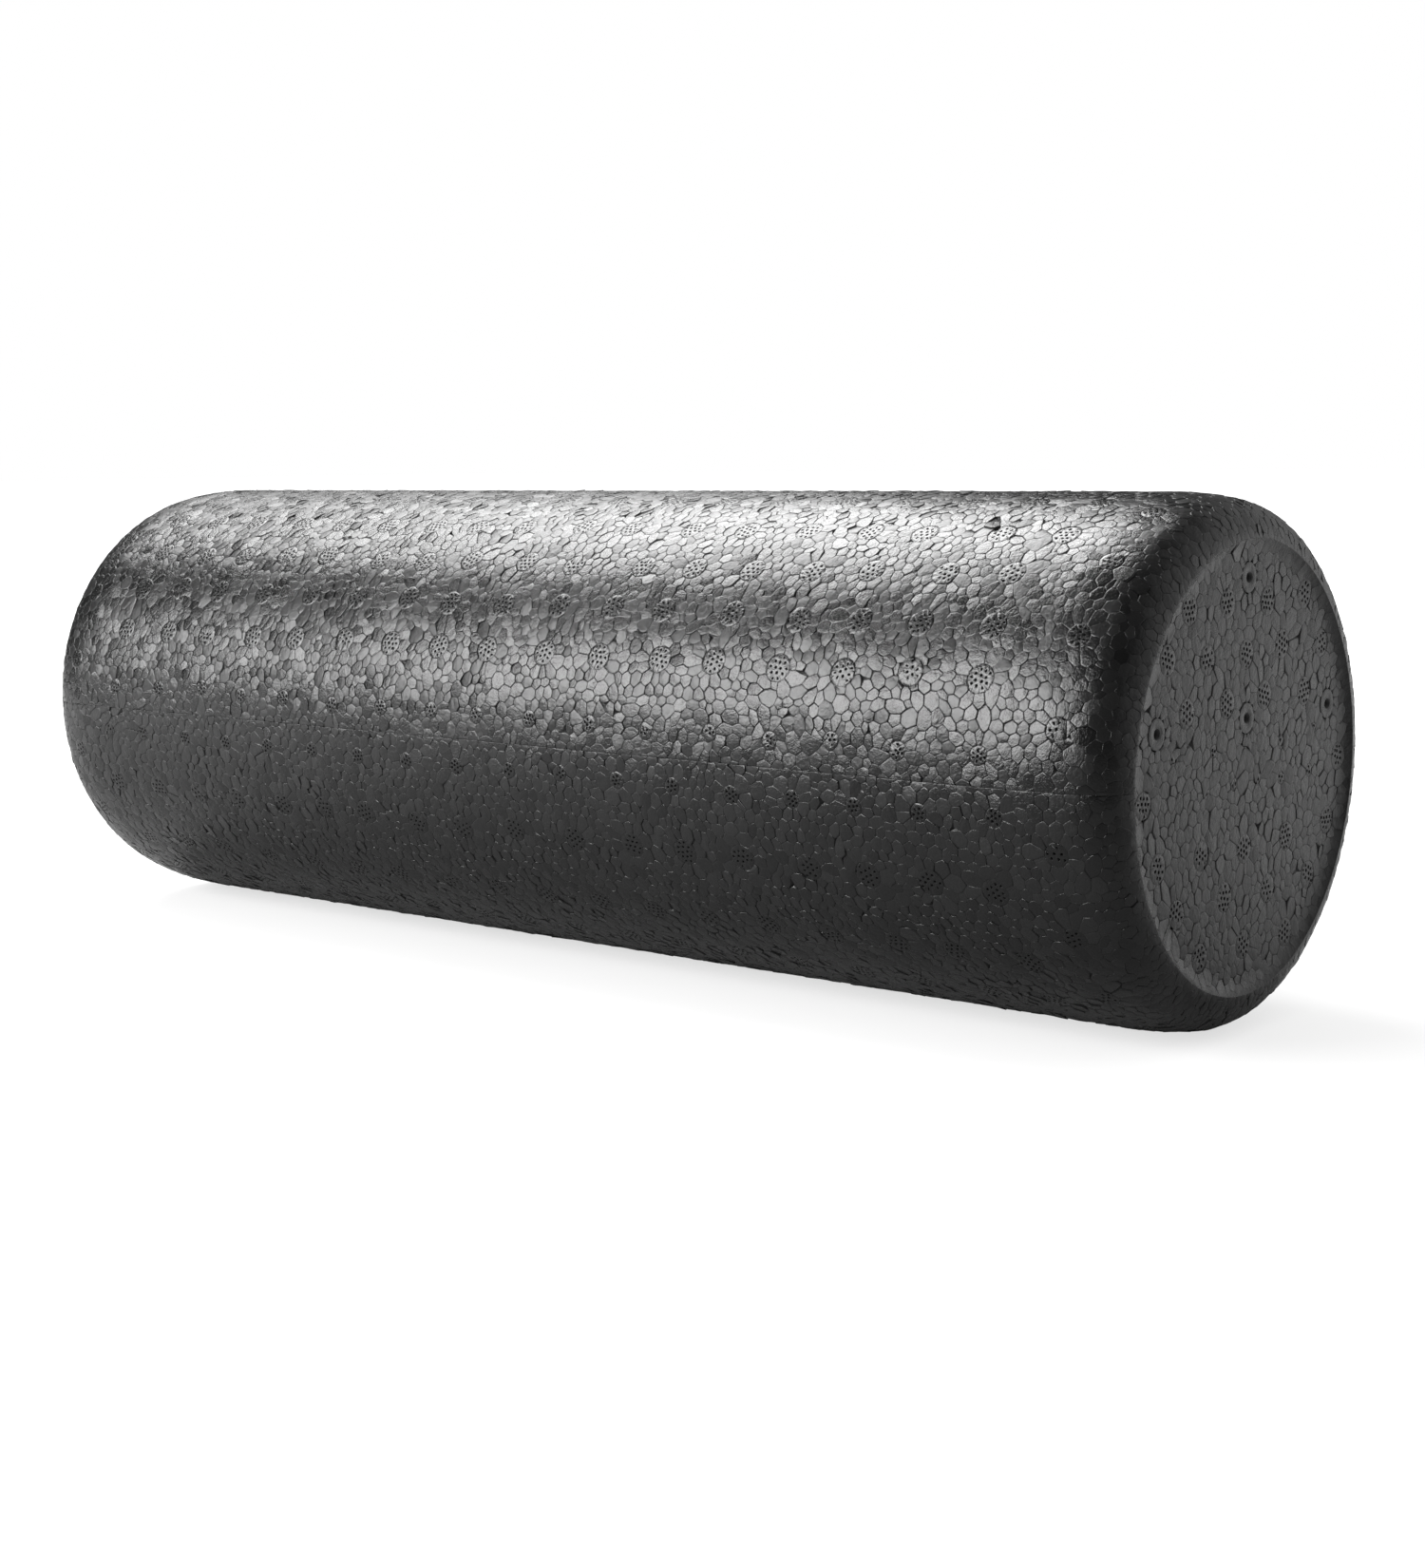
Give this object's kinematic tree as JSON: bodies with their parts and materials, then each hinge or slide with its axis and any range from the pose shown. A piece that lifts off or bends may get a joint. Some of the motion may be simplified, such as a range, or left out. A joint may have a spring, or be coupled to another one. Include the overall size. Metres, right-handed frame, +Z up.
{
  "type": "foam roller",
  "caption": "Round black bead-foam roller with rounded shoulders, shallow recessed ends and small moulded vent marks.",
  "frame": {"origin": "on the floor, under the middle of the roller as it lies on its side", "axes": "+X along the roller, +Z up, with the mould's parting line level on both sides"},
  "size_m": [0.451, 0.1524, 0.1524],
  "materials": {
    "bead_foam": "semi-matt moulded beads"
  },
  "bodies": {
    "root": {"foam_core": "bead_foam", "upper_skin": "bead_foam", "lower_skin": "bead_foam", "end_face_right": "bead_foam", "end_face_left": "bead_foam"}
  },
  "joints": []
}
